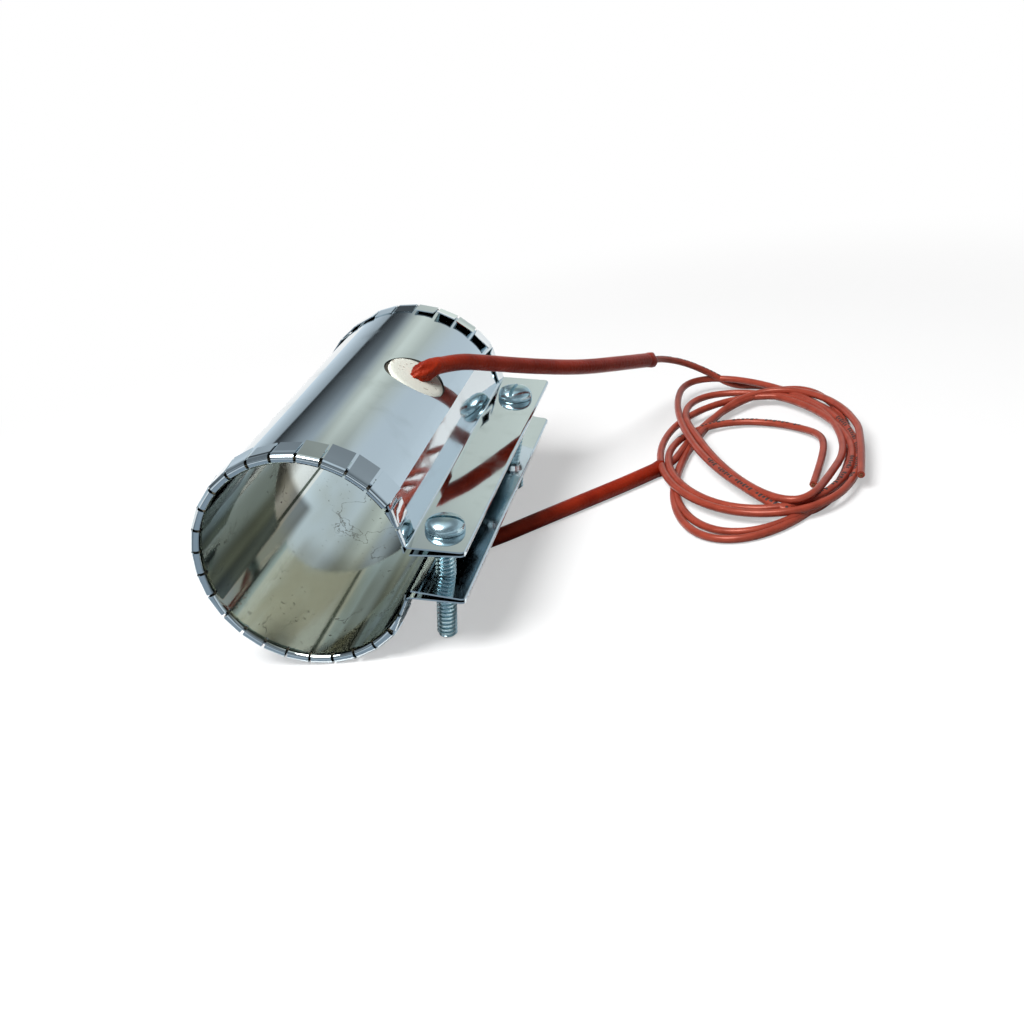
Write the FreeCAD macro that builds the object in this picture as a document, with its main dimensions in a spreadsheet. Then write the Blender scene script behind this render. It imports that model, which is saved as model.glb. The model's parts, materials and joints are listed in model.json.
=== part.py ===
import FreeCAD, Part
import math
import os

import Sketcher
from FreeCAD import Placement, Rotation, Vector

# A mica band heater: two stainless sheaths that hold a wound mica element
# between them, closed round a cylinder by two screws through the outer sheath's
# folded ears.
# Millimetres. The origin is the middle of the bore's near end, +Y runs along the
# bore and +Z is up, as the heater lies on a bench: on its two rolled rims and
# on the tips of its two screws. In its own section the gap opens toward +X, and
# the whole heater is then tilted about the bore until the screw tips touch down.

SIZES = {
    # the band
    "bore_radius": 25.0,
    "band_width": 110.0,
    "half_gap": 5.4,
    "sheath_gauge": 0.4,
    "mica_gauge": 0.35,
    "former_gauge": 0.35,
    "ribbon_gauge": 0.2,
    "layer_clearance": 0.02,
    "layer_setback": 2.0,
    # the rolled rims
    "tab_length": 7.4,
    "tab_count": 22,
    "slit_width": 0.6,
    "slit_depth": 2.0,
    # the flats beside the gap, and the ears bent out of them
    "flat_lean": 20.0,
    "flat_tab_count": 2,
    "ear_bend": 0.6,
    "ear_reach": 38.8,
    "ear_margin": 0.6,
    "ear_corner": 1.6,
    "hem_thickness": 1.3,
    "return_reach": 25.7,
    "return_droop": 0.9,
    "collar_flare": 0.8,
    "collar_drop": 1.2,
    # the clamp screws
    "screw_radius": 2.45,
    "screw_length": 28.3,
    "screw_reach": 31.6,
    "screw_near": 11.0,
    "screw_far_margin": 15.5,
    "screw_hole_radius": 2.5,
    "screw_passage_radius": 2.75,
    "screw_tip_chamfer": 0.6,
    "head_radius": 4.75,
    "head_height": 3.3,
    "head_round": 2.7,
    "head_clearance": 0.05,
    "slot_width": 1.2,
    "slot_depth": 1.6,
    # the lead exits
    "upper_exit_angle": 64.2,
    "upper_exit_place": 61.5,
    "upper_exit_radius": 8.55,
    "lower_exit_angle": -50.0,
    "lower_exit_place": 46.0,
    "lower_exit_radius": 5.6,
    "exit_clearance": 0.15,
    "bush_proud": 0.1,
    "bush_floor": 0.05,
    "root_radius": 2.35,
    "terminal_radius": 2.2,
    "terminal_gauge": 0.2,
    "crimp_radius": 0.9,
    "crimp_height": 0.5,
    "terminal_clearance": 0.1,
    # the element
    "meander_pitch": 8.0,
    "meander_gap": 1.2,
    "meander_margin": 3.0,
    "ribbon_inset": 1.5,
    # the leads
    "sleeve_radius": 2.2,
    "lead_radius": 1.05,
    "coil_centre_x": 101.0,
    "coil_centre_y": 104.0,
    "coil_half_width": 27.5,
    "coil_half_length": 59.0,
    "coil_band": 15.0,
    "coil_height": 6.0,
}

# Routes of the sleeves and leads, chosen by hand: each stretch that isn't coiled.
UPPER_SLEEVE_ROUTE = [
    (19.65, 63.7, 22.3),
    (24.8, 70.5, 21.1),
    (30.2, 77.8, 17.3),
    (39.0, 91.5, 10.2),
    (49.5, 107.5, 2.6),
    (58.0, 123.5, -3.0),
    (65.0, 139.5, -8.5),
]
UPPER_LEAD_ROUTE = [
    (65.0, 139.5, -8.5),
    (68.6, 146.8, -11.3),
    (74.2, 152.4, -15.4),
    (81.0, 155.8, -21.0),
    (88.3, 157.2, -26.2),
]
LOWER_SLEEVE_ROUTE = [
    (16.6, 48.2, -25.1),
    (28.2, 56.0, -25.25),
    (39.5, 66.3, -25.35),
    (53.0, 78.0, -25.35),
    (63.2, 86.8, -25.35),
    (70.8, 94.3, -25.35),
]
LOWER_LEAD_ROUTE = [
    (70.8, 94.3, -25.35),
    (72.3, 95.8, -25.45),
    (73.6, 97.4, -25.7),
]

doc = FreeCAD.newDocument("band_heater")


# ---------------------------------------------------------------- named sizes

class Size:
    """A number together with the sheet expression that it comes from."""

    def __init__(self, value, text):
        self.value = value
        self.text = text

    def __add__(self, other):
        return join(self, other, "+", self.value + size(other).value)

    def __radd__(self, other):
        return size(other) + self

    def __sub__(self, other):
        return join(self, other, "-", self.value - size(other).value)

    def __rsub__(self, other):
        return size(other) - self

    def __mul__(self, other):
        return join(self, other, "*", self.value * size(other).value)

    def __rmul__(self, other):
        return size(other) * self

    def __truediv__(self, other):
        return join(self, other, "/", self.value / size(other).value)

    def __neg__(self):
        return 0 - self


def size(value):
    return value if isinstance(value, Size) else Size(float(value), repr(float(value)))


def join(left, right, sign, value):
    return Size(value, "(%s %s %s)" % (size(left).text, sign, size(right).text))


def sine(angle):
    return Size(math.sin(math.radians(size(angle).value)), "sin(%s)" % size(angle).text)


def cosine(angle):
    return Size(math.cos(math.radians(size(angle).value)), "cos(%s)" % size(angle).text)


def arc_sine(ratio):
    return Size(math.degrees(math.asin(ratio.value)), "(asin(%s) / 1 deg)" % ratio.text)


def arc_cosine(ratio):
    return Size(math.degrees(math.acos(ratio.value)), "(acos(%s) / 1 deg)" % ratio.text)


def root(value):
    return Size(math.sqrt(value.value), "sqrt(%s)" % value.text)


def make_sheet():
    sheet = doc.addObject("Spreadsheet::Sheet", "Sizes")
    for row, (name, value) in enumerate(SIZES.items(), start=1):
        sheet.set("A%d" % row, name)
        sheet.set("B%d" % row, str(value))
        sheet.setAlias("B%d" % row, name)
    doc.recompute()
    return {name: Size(float(sheet.get(name)), "Sizes.%s" % name) for name in SIZES}


S = make_sheet()


def bind(item, prop, value):
    item.setExpression(prop, size(value).text)


# ------------------------------------------------------- sizes that follow

# radii of the layers, from the bore outward
inner_sheath_outside = S["bore_radius"] + S["sheath_gauge"]
inner_mica_inside = inner_sheath_outside + S["layer_clearance"]
inner_mica_outside = inner_mica_inside + S["mica_gauge"]
former_inside = inner_mica_outside + S["layer_clearance"]
former_outside = former_inside + S["former_gauge"]
ribbon_inside = former_outside + S["layer_clearance"]
ribbon_outside = ribbon_inside + S["ribbon_gauge"]
outer_mica_inside = ribbon_outside + S["layer_clearance"]
outer_mica_outside = outer_mica_inside + S["mica_gauge"]
outer_sheath_inside = outer_mica_outside + S["layer_clearance"]
outer_sheath_outside = outer_sheath_inside + S["sheath_gauge"]
tab_inside = outer_sheath_outside + S["layer_clearance"]
rim_radius = tab_inside + S["sheath_gauge"]

# the flats that bring the outer sheath down on to the inner one beside the gap
flat_inside = inner_sheath_outside + S["layer_clearance"]
flat_outside = flat_inside + S["sheath_gauge"]
flat_tab_inside = flat_outside + S["layer_clearance"]
flat_tab_outside = flat_tab_inside + S["sheath_gauge"]
flat_start = S["flat_lean"] + arc_cosine(flat_outside / outer_sheath_outside)

# the ears: a bend, an outer layer, a hem and a layer that returns to the band
lean = sine(S["flat_lean"])
upright = cosine(S["flat_lean"])
ear_top = S["half_gap"] + S["hem_thickness"]
bend_depth = flat_outside + S["ear_bend"]
bend_along = (ear_top + S["ear_bend"] - bend_depth * lean) / upright

# rims and screw tips stand on the bench at rim_radius below the bore's axis
screw_place = {"near": S["screw_near"], "far": S["band_width"] - S["screw_far_margin"]}
tip_radius = S["screw_radius"] - S["screw_tip_chamfer"]
screw_drop = S["screw_length"] - ear_top - S["head_clearance"]


def on_flat(side, depth, along):
    """A point of a flat in section: depth square to it, along it off the gap."""
    sign = 1 if side == "upper" else -1
    return (depth * upright - along * lean, sign * (depth * lean + along * upright))


def ring_end(depth, radius):
    """How far along a flat the line at this depth meets a circle of this radius."""
    return root(radius * radius - depth * depth)


def rest_tilt():
    """Turn about the bore, in degrees, that sets both screw tips on the bench."""
    reach = S["screw_reach"].value + tip_radius.value
    arm = math.hypot(reach, screw_drop.value)
    lift = math.degrees(math.atan2(screw_drop.value, reach))
    return math.degrees(math.asin(rim_radius.value / arm)) - lift


TILT = Placement(Vector(0, 0, 0), Rotation(Vector(0, 1, 0), rest_tilt()))


# ------------------------------------------------------------ sketch helpers

def origin_plane(body, role):
    return next(item for item in body.Origin.OriginFeatures if item.Role == role)


def new_body(label, local=None):
    body = doc.addObject("PartDesign::Body", label)
    body.Label = label
    body.Placement = TILT.multiply(local) if local else TILT
    return body


def new_sketch(body, name, role, turn=None, lift=None):
    """A sketch on an origin plane; turn is (axis, angle) in it, lift its height."""
    sketch = body.newObject("Sketcher::SketchObject", name)
    sketch.AttachmentSupport = [(origin_plane(body, role), "")]
    sketch.MapMode = "FlatFace"
    if turn:
        axis, angle = turn
        rotation = Rotation(axis, size(angle).value)
        base = rotation.multVec(Vector(0, 0, size(lift or 0).value))
        sketch.AttachmentOffset = Placement(base, rotation)
        bind(sketch, "AttachmentOffset.Rotation.Angle", angle)
    elif lift is not None:
        sketch.AttachmentOffset = Placement(Vector(0, 0, size(lift).value), Rotation())
        bind(sketch, "AttachmentOffset.Base.z", lift)
    return sketch


def hold(sketch, kind, element, end, value):
    """Keep one coordinate of a point at a signed distance from the origin."""
    value = size(value)
    if value.value < 0:
        number = sketch.addConstraint(
            Sketcher.Constraint(kind, element, end, -1, 1, -value.value))
        value = -value
    else:
        number = sketch.addConstraint(
            Sketcher.Constraint(kind, -1, 1, element, end, value.value))
    sketch.setExpression("Constraints[%d]" % number, value.text)


def add_outline(sketch, corners):
    """A closed outline. A corner is (x, y), or (x, y, (centre x, centre y, turn))
    where the edge that leaves it is an arc, turn being 1 anticlockwise, else -1."""
    count = len(corners)
    base = sketch.GeometryCount
    for number, corner in enumerate(corners):
        after = corners[(number + 1) % count]
        start = Vector(size(corner[0]).value, size(corner[1]).value, 0)
        end = Vector(size(after[0]).value, size(after[1]).value, 0)
        if len(corner) == 2:
            sketch.addGeometry(Part.LineSegment(start, end), False)
            continue
        centre = Vector(size(corner[2][0]).value, size(corner[2][1]).value, 0)
        first, last = (start, end) if corner[2][2] > 0 else (end, start)
        circle = Part.Circle(centre, Vector(0, 0, 1), (start - centre).Length)
        angles = [math.atan2(p.y - centre.y, p.x - centre.x) for p in (first, last)]
        sketch.addGeometry(Part.ArcOfCircle(circle, angles[0], angles[1]), False)

    def ends(number):
        corner = corners[number % count]
        return (1, 2) if len(corner) == 2 or corner[2][2] > 0 else (2, 1)

    for number, corner in enumerate(corners):
        here = base + number
        before = base + (number - 1) % count
        sketch.addConstraint(Sketcher.Constraint(
            "Coincident", before, ends(number - 1)[1], here, ends(number)[0]))
        arcs = [c[2] for c in (corner, corners[(number - 1) % count]) if len(c) == 3]
        if len(arcs) == 2:
            continue
        wide = high = True
        if arcs:
            across = abs(size(corner[0]).value - size(arcs[0][0]).value)
            along = abs(size(corner[1]).value - size(arcs[0][1]).value)
            wide, high = along > across, along <= across
        if wide:
            hold(sketch, "DistanceX", here, ends(number)[0], corner[0])
        if high:
            hold(sketch, "DistanceY", here, ends(number)[0], corner[1])
    for number, corner in enumerate(corners):
        if len(corner) == 3:
            here = base + number
            hold(sketch, "DistanceX", here, 3, corner[2][0])
            hold(sketch, "DistanceY", here, 3, corner[2][1])
            dx = size(corner[0]) - corner[2][0]
            dy = size(corner[1]) - corner[2][1]
            radius = root(dx * dx + dy * dy)
            mark = sketch.addConstraint(
                Sketcher.Constraint("Radius", here, radius.value))
            sketch.setExpression("Constraints[%d]" % mark, radius.text)


def add_rectangle(sketch, left, bottom, right, top):
    add_outline(sketch, [(left, bottom), (right, bottom), (right, top), (left, top)])


def add_circle(sketch, x, y, radius):
    here = sketch.addGeometry(Part.Circle(
        Vector(size(x).value, size(y).value, 0), Vector(0, 0, 1), size(radius).value))
    hold(sketch, "DistanceX", here, 3, x)
    hold(sketch, "DistanceY", here, 3, y)
    mark = sketch.addConstraint(Sketcher.Constraint("Radius", here, size(radius).value))
    sketch.setExpression("Constraints[%d]" % mark, size(radius).text)


def revolve(body, sketch, name, angle, axis="V_Axis", midplane=True):
    feature = body.newObject("PartDesign::Revolution", name)
    feature.Profile = sketch
    feature.ReferenceAxis = (sketch, [axis])
    feature.Midplane = midplane
    feature.Angle = size(angle).value
    bind(feature, "Angle", angle)
    return feature


def pad(body, sketch, name, length, reverse=False):
    feature = body.newObject("PartDesign::Pad", name)
    feature.Profile = sketch
    feature.Length = size(length).value
    bind(feature, "Length", length)
    feature.Reversed = reverse
    return feature


def pocket(body, sketch, name, length, reverse=False, midplane=False):
    feature = body.newObject("PartDesign::Pocket", name)
    feature.Profile = sketch
    feature.Length = size(length).value
    bind(feature, "Length", length)
    feature.Reversed = reverse
    feature.Midplane = midplane
    return feature


def turn_copies(body, features, name, count, sweep):
    """Copies of the features, turned about the bore's axis over a sweep."""
    pattern = body.newObject("PartDesign::PolarPattern", name)
    pattern.Originals = features
    axis = next(item for item in body.Origin.OriginFeatures if item.Role == "Y_Axis")
    pattern.Axis = (axis, [""])
    pattern.Angle = size(sweep).value
    bind(pattern, "Angle", sweep)
    pattern.Occurrences = max(2, round(size(count).value))
    bind(pattern, "Occurrences", count)
    body.Tip = pattern
    return pattern


# --------------------------------------------------------------------- layers

def ring_section(body, name, inside, outside, near, far, half_open):
    """A C-shaped layer: a rectangle turned about the bore, open toward the gap."""
    sketch = new_sketch(body, name + "_section", "XY_Plane")
    add_rectangle(sketch, -outside, near, -inside, far)
    return revolve(body, sketch, name, 360 - 2 * half_open)


def make_layer(label, inside, outside, inset=0):
    body = new_body(label)
    near = S["layer_setback"] + inset
    far = S["band_width"] - S["layer_setback"] - inset
    ring_section(body, label + "_ring", inside, outside, near, far, flat_start)
    return body


def exit_hole(body, name, side, radius):
    """A round hole through a layer, square to it, at one of the lead exits."""
    turn = 90 - S[side + "_exit_angle"]
    sketch = new_sketch(body, name + "_sketch", "XY_Plane", (Vector(0, 1, 0), turn))
    add_circle(sketch, 0, S[side + "_exit_place"], radius)
    return pocket(body, sketch, name, rim_radius + 1, reverse=True)


def flat_tabs(body, side, end):
    """The plainer tabs beside the gap: an end plate out from the bore wall, and a
    leaf folded back over the outer sheath's flat."""
    sign = 1 if side == "upper" else -1
    widest = ring_end(flat_tab_outside, rim_radius) - S["slit_width"]
    pitch = (widest - bend_along) / S["flat_tab_count"]
    for name, length in (("plate", S["sheath_gauge"]), ("leaf", S["tab_length"])):
        label = "%s_%s_%s" % (side, end, name)
        start = 0 if end == "near" else S["band_width"] - length
        sketch = new_sketch(body, label + "_sketch", "XZ_Plane", lift=-size(start))
        for number in range(int(S["flat_tab_count"].value)):
            low = bend_along + number * pitch
            high = low + pitch - S["slit_width"]
            if name == "leaf":
                add_outline(sketch, [
                    on_flat(side, flat_tab_inside, low),
                    on_flat(side, flat_tab_outside, low),
                    on_flat(side, flat_tab_outside, high),
                    on_flat(side, flat_tab_inside, high)])
                continue
            bore = S["bore_radius"]
            add_outline(sketch, [
                on_flat(side, root(bore * bore - high * high), high) + ((0, 0, -sign),),
                on_flat(side, root(bore * bore - low * low), low),
                on_flat(side, flat_tab_outside, low),
                on_flat(side, flat_tab_outside, high)])
        pad(body, sketch, label, length, reverse=True)


def make_inner_sheath():
    body = new_body("inner_sheath")
    roll = (rim_radius - S["bore_radius"]) / 2
    roll_centre = S["bore_radius"] + roll
    gap_angle = arc_sine(S["half_gap"] / inner_sheath_outside)
    ring_section(body, "bore_wall", S["bore_radius"], inner_sheath_outside,
                 roll, S["band_width"] - roll, gap_angle)
    for end in ("near", "far"):
        def place(distance):
            return distance if end == "near" else S["band_width"] - distance
        way = 1 if end == "near" else -1
        sketch = new_sketch(body, end + "_roll_section", "XY_Plane")
        add_outline(sketch, [
            (-S["bore_radius"], place(roll), (-roll_centre, place(roll), -way)),
            (-rim_radius, place(roll)),
            (-rim_radius, place(S["tab_length"])),
            (-tab_inside, place(S["tab_length"])),
            (-tab_inside, place(roll), (-roll_centre, place(roll), way)),
            (-inner_sheath_outside, place(roll)),
        ])
        revolve(body, sketch, end + "_roll", 360 - 2 * flat_start)
    # the bore wall runs on to both ends beside the gap, where the tabs are plainer
    lip_angle = S["flat_lean"] + arc_sine(bend_along / inner_sheath_outside)
    for end in ("near", "far"):
        low, high = size(0), roll
        if end == "far":
            low, high = S["band_width"] - roll, S["band_width"]
        ring_section(body, end + "_lip", S["bore_radius"], inner_sheath_outside,
                     low, high, lip_angle)
    for side in ("upper", "lower"):
        for end in ("near", "far"):
            flat_tabs(body, side, end)
    # the slits that part the tabs: through the roll, and on between the tabs
    pitch = (360 - 2 * flat_start) / S["tab_count"]
    first = flat_start + pitch
    half = S["slit_width"] / 2
    cuts = []
    for name, depth, start in (("roll_slit", S["slit_depth"], size(0)),
                               ("tab_slit", S["tab_length"] + 1, roll_centre)):
        sketch = new_sketch(body, name + "_sketch", "YZ_Plane",
                            (Vector(1, 0, 0), first))
        add_rectangle(sketch, -1, -half, depth, half)
        add_rectangle(sketch, S["band_width"] - depth, -half, S["band_width"] + 1, half)
        cut = pocket(body, sketch, name, rim_radius + 1, reverse=True)
        if start.value:
            rotation = sketch.AttachmentOffset.Rotation
            sketch.AttachmentOffset = Placement(
                rotation.multVec(Vector(0, 0, start.value)), rotation)
            bind(sketch, "AttachmentOffset.Base.y", -start * sine(first))
            bind(sketch, "AttachmentOffset.Base.z", start * cosine(first))
        cuts.append(cut)
    turn_copies(body, cuts, "slits", S["tab_count"] - 1,
                (S["tab_count"] - 2) * pitch)
    return body



def make_outer_mica():
    """The outer mica, with a window for each terminal."""
    body = make_layer("outer_mica", outer_mica_inside, outer_mica_outside)
    for side in ("upper", "lower"):
        exit_hole(body, side + "_window", side,
                  S["terminal_radius"] + S["terminal_clearance"])
    return body


def make_ribbon():
    """The resistance ribbon: one band that doubles back and forth as it goes round."""
    body = new_body("resistance_ribbon")
    near = S["layer_setback"] + S["ribbon_inset"]
    far = S["band_width"] - near
    half_open = flat_start + S["ribbon_inset"]
    ring_section(body, "ribbon_ring", ribbon_inside, ribbon_outside, near, far, half_open)
    count = math.floor((360 - 2 * half_open.value) / S["meander_pitch"].value / 2)
    step = (360 - 2 * half_open) / (2 * count + 1)
    half = S["meander_gap"] / 2
    cuts = []
    for name, low, high, place in (
            ("near_gap", near - 1, far - S["meander_margin"], half_open + step),
            ("far_gap", near + S["meander_margin"], far + 1, half_open + 2 * step)):
        sketch = new_sketch(body, name + "_sketch", "YZ_Plane", (Vector(1, 0, 0), place))
        add_rectangle(sketch, low, -half, high, half)
        cuts.append(pocket(body, sketch, name, rim_radius, reverse=True))
    turn_copies(body, cuts, "meander", count, (2 * count - 2) * step)
    return body


def ear_section(body, side):
    """One sheet in section: the flat, the bend, the outer layer, the hem and the
    layer that returns to the band's edge."""
    sign = 1 if side == "upper" else -1
    gauge = S["sheath_gauge"]
    under = ear_top - gauge
    bottom = S["half_gap"]
    fold_x = S["ear_reach"] - S["hem_thickness"] / 2
    fold_z = sign * (ear_top + bottom) / 2
    end_x = S["return_reach"]
    end_z = bottom - S["return_droop"]
    bend_x, bend_z = on_flat(side, bend_depth, bend_along)
    sketch = new_sketch(body, side + "_ear_section", "XZ_Plane", lift=-S["ear_margin"])
    add_outline(sketch, [
        on_flat(side, flat_inside, ring_end(flat_inside, outer_sheath_inside)),
        on_flat(side, flat_inside, bend_along) + ((bend_x, bend_z, sign),),
        (bend_x, sign * under),
        (fold_x, sign * under, (fold_x, fold_z, -sign)),
        (fold_x, sign * (bottom + gauge)),
        (end_x, sign * (end_z + gauge)),
        (end_x, sign * end_z),
        (fold_x, sign * bottom, (fold_x, fold_z, sign)),
        (fold_x, sign * ear_top),
        (bend_x, sign * ear_top, (bend_x, bend_z, -sign)),
        on_flat(side, flat_outside, bend_along),
        on_flat(side, flat_outside, ring_end(flat_outside, outer_sheath_outside)),
    ])
    pad(body, sketch, side + "_ear", S["band_width"] - 2 * S["ear_margin"], reverse=True)


def screw_collar(body, side, end):
    """The sheet drawn out round a screw hole: a short flared collar."""
    name = "%s_%s_collar" % (side, end)
    hole = S["screw_passage_radius"] if side == "upper" else S["screw_hole_radius"]
    if side == "upper":
        base = S["half_gap"] + S["sheath_gauge"] / 2
        foot = S["half_gap"] - S["return_droop"] / 2 - S["collar_drop"]
    else:
        base = S["sheath_gauge"] / 2 - ear_top
        foot = -ear_top - S["collar_drop"] / 2
    sketch = new_sketch(body, name + "_section", "XZ_Plane", lift=-screw_place[end])
    axis_x = S["screw_reach"]
    axis = sketch.addGeometry(Part.LineSegment(
        Vector(axis_x.value, 0, 0), Vector(axis_x.value, 1, 0)), True)
    hold(sketch, "DistanceX", axis, 1, axis_x)
    hold(sketch, "DistanceX", axis, 2, axis_x)
    lip = S["sheath_gauge"] * 0.8
    add_outline(sketch, [
        (axis_x + hole, base),
        (axis_x + hole, foot),
        (axis_x + hole + lip, foot),
        (axis_x + hole + lip + S["collar_flare"], base),
    ])
    revolve(body, sketch, name, 360, axis="Axis0", midplane=False)


def make_outer_sheath():
    """One sheet: the C-shaped wall, a flat beside the gap on each side, the ears."""
    body = new_body("outer_sheath")
    near = S["layer_setback"]
    far = S["band_width"] - near
    ring_section(body, "outer_ring", outer_sheath_inside, outer_sheath_outside,
                 near, far, flat_start)
    for side in ("upper", "lower"):
        ear_section(body, side)
        for end in ("near", "far"):
            screw_collar(body, side, end)
    for side in ("upper", "lower"):
        exit_hole(body, side + "_exit_hole", side, S[side + "_exit_radius"])
    # clearance holes in the upper ear, thread-sized ones in the lower
    for side, radius in (("upper", S["screw_passage_radius"]),
                         ("lower", S["screw_hole_radius"])):
        holes = new_sketch(body, side + "_screw_holes_sketch", "XY_Plane")
        for end in ("near", "far"):
            add_circle(holes, S["screw_reach"], screw_place[end], radius)
        pocket(body, holes, side + "_screw_holes", 2 * ear_top, reverse=side == "upper")
    # the four outer corners of the ears are rounded
    corners = new_sketch(body, "ear_corners_sketch", "XY_Plane")
    low, high = S["ear_margin"], S["band_width"] - S["ear_margin"]
    edge, curve = S["ear_reach"], S["ear_corner"]
    add_outline(corners, [
        (edge - curve, low, (edge - curve, low + curve, 1)),
        (edge, low + curve), (edge + 1, low + curve),
        (edge + 1, low - 1), (edge - curve, low - 1)])
    add_outline(corners, [
        (edge, high - curve, (edge - curve, high - curve, 1)),
        (edge - curve, high), (edge - curve, high + 1),
        (edge + 1, high + 1), (edge + 1, high - curve)])
    pocket(body, corners, "ear_corners", 4 * ear_top, midplane=True)
    return body


# ------------------------------------------------------------------ fasteners

def make_screw(end, quarter_turn):
    """A slotted pan-head clamp screw, turned about its own axis."""
    centre = Vector(S["screw_reach"].value, screw_place[end].value,
                    ear_top.value + S["head_clearance"].value)
    local = Placement(centre, Rotation(Vector(0, 0, 1), quarter_turn))
    body = new_body(end + "_screw", local)
    sketch = new_sketch(body, end + "_screw_section", "XZ_Plane")
    shoulder = S["head_radius"] - S["head_round"]
    height = S["head_height"]
    add_outline(sketch, [
        (0, -S["screw_length"]),
        (tip_radius, -S["screw_length"]),
        (S["screw_radius"], -S["screw_length"] + S["screw_tip_chamfer"]),
        (S["screw_radius"], 0),
        (S["head_radius"], 0),
        (S["head_radius"], height - S["head_round"],
         (shoulder, height - S["head_round"], 1)),
        (shoulder, height),
        (0, height),
    ])
    revolve(body, sketch, end + "_screw_turned", 360)
    slot = new_sketch(body, end + "_slot_sketch", "XY_Plane", lift=height)
    long_way, half = S["head_radius"] + 1, S["slot_width"] / 2
    add_rectangle(slot, -long_way, -half, long_way, half)
    pocket(body, slot, end + "_slot", S["slot_depth"])
    return body


# ---------------------------------------------------------------- lead exits

def exit_turn(side):
    return Rotation(Vector(0, 1, 0), 90 - S[side + "_exit_angle"].value)


def make_turned(side, label, outline):
    """A small turned piece that stands square to the band at a lead exit."""
    place = Placement(Vector(0, S[side + "_exit_place"].value, 0), Rotation())
    local = Placement(Vector(0, 0, 0), exit_turn(side)).multiply(place)
    body = new_body("%s_%s" % (side, label), local)
    sketch = new_sketch(body, body.Label + "_section", "XZ_Plane")
    add_outline(sketch, outline)
    revolve(body, sketch, body.Label + "_turned", 360)
    return body


terminal_seat = ribbon_outside + S["layer_clearance"]
terminal_top = terminal_seat + S["terminal_gauge"]


def make_terminal(side):
    """The eyelet on the ribbon's end, in the outer mica's window."""
    return make_turned(side, "terminal", [
        (0, terminal_seat),
        (S["terminal_radius"], terminal_seat),
        (S["terminal_radius"], terminal_top),
        (0, terminal_top),
    ])


def make_crimp(side):
    """The barrel on the eyelet that grips the lead, inside the bush."""
    top = terminal_top + S["crimp_height"]
    return make_turned(side, "crimp", [
        (0, terminal_top),
        (S["crimp_radius"], terminal_top),
        (S["crimp_radius"], top),
        (0, top),
    ])


def add_cylinder(name, radius, height, placement):
    item = doc.addObject("Part::Cylinder", name)
    bind(item, "Radius", radius)
    bind(item, "Height", height)
    item.Placement = placement
    return item


def boolean(kind, name, base, tool):
    item = doc.addObject(kind, name)
    item.Base = base
    item.Tool = tool
    return item


def along_bore(side, name, radius, reach):
    """A cylinder on the bore's axis that spans one lead exit."""
    start = Vector(0, S[side + "_exit_place"].value - reach.value, 0)
    return add_cylinder(name, radius, 2 * reach,
                        Placement(start, Rotation(Vector(1, 0, 0), -90)))


bush_face = outer_sheath_outside + S["bush_proud"]


def make_bush(side):
    """A curved ceramic disc in the outer sheath's hole, bored for the lead."""
    name = side + "_bush"
    radius = S[side + "_exit_radius"] - S["exit_clearance"]
    floor = outer_mica_outside + S["bush_floor"]
    centre = Placement(Vector(0, S[side + "_exit_place"].value, 0), exit_turn(side))
    shell = boolean("Part::Cut", name + "_shell",
                    along_bore(side, name + "_face", bush_face, 2 * radius),
                    along_bore(side, name + "_floor", floor, 3 * radius))
    blank = add_cylinder(name + "_blank", radius, bush_face + 1, centre)
    disc = boolean("Part::Common", name + "_disc", blank, shell)
    bore = add_cylinder(name + "_bore", S["crimp_radius"] + S["terminal_clearance"],
                        bush_face + 2, centre)
    bush = boolean("Part::Cut", name, disc, bore)
    bush.Label = name
    bush.Placement = TILT
    return bush


def make_root(side, route):
    """The gathered root of the sleeve, from the bush's face to the route's start."""
    name = side + "_root"
    centre = Vector(0, S[side + "_exit_place"].value, 0)
    first, second = (TILT.inverse().multVec(Vector(*point)) for point in route[:2])
    foot = centre + exit_turn(side).multVec(Vector(0, 0, bush_face.value))
    blank = doc.addObject("Part::Cylinder", name + "_blank")
    bind(blank, "Radius", S["root_radius"])
    blank.Height = (foot - first).Length + S["root_radius"].value
    blank.Placement = Placement(first, Rotation(Vector(0, 0, 1), first - second))
    reach = 3 * S["root_radius"]
    face = bush_face + S["layer_clearance"]
    root_piece = boolean("Part::Cut", name, blank,
                         along_bore(side, name + "_seat", face, reach))
    root_piece.Label = name
    root_piece.Placement = TILT
    return root_piece


# --------------------------------------------------------------------- leads

def make_cord(label, route, radius):
    """A tube along straight runs joined by the widest arcs that they allow."""
    points = [Vector(*point) for point in route]
    pieces, here, bends = [], points[0], []
    for before, corner, after in zip(points, points[1:], points[2:]):
        back, on = (before - corner), (after - corner)
        half_turn = (math.pi - back.getAngle(on)) / 2
        reach = 0.45 * min(back.Length, on.Length)
        first = corner + back.normalize() * reach
        last = corner + on.normalize() * reach
        sagitta = reach * math.tan(half_turn / 2) / math.tan(half_turn)
        toward = ((first + last) / 2 - corner).normalize()
        bend = reach / math.tan(half_turn)
        middle = corner + toward * (bend / math.cos(half_turn) - bend)
        pieces.append(Part.LineSegment(here, first).toShape())
        pieces.append(Part.Arc(first, middle, last).toShape())
        bends.append(bend)
        here = last
    pieces.append(Part.LineSegment(here, points[-1]).toShape())
    path = Part.Wire(pieces)
    start = Part.Wire(Part.makeCircle(radius.value, points[0], points[1] - points[0]))
    tube = path.makePipeShell([start], True, False)
    item = doc.addObject("Part::Feature", label)
    item.Label = label
    item.Shape = Part.Solid(tube) if tube.ShapeType != "Solid" else tube
    section = math.pi * radius.value ** 2
    print("%s: length %.1f mm, radii %s mm, volume %.2f of %.2f" % (
        label, path.Length, ", ".join("%.1f" % bend for bend in bends),
        item.Shape.Volume, section * path.Length))
    return item


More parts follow.
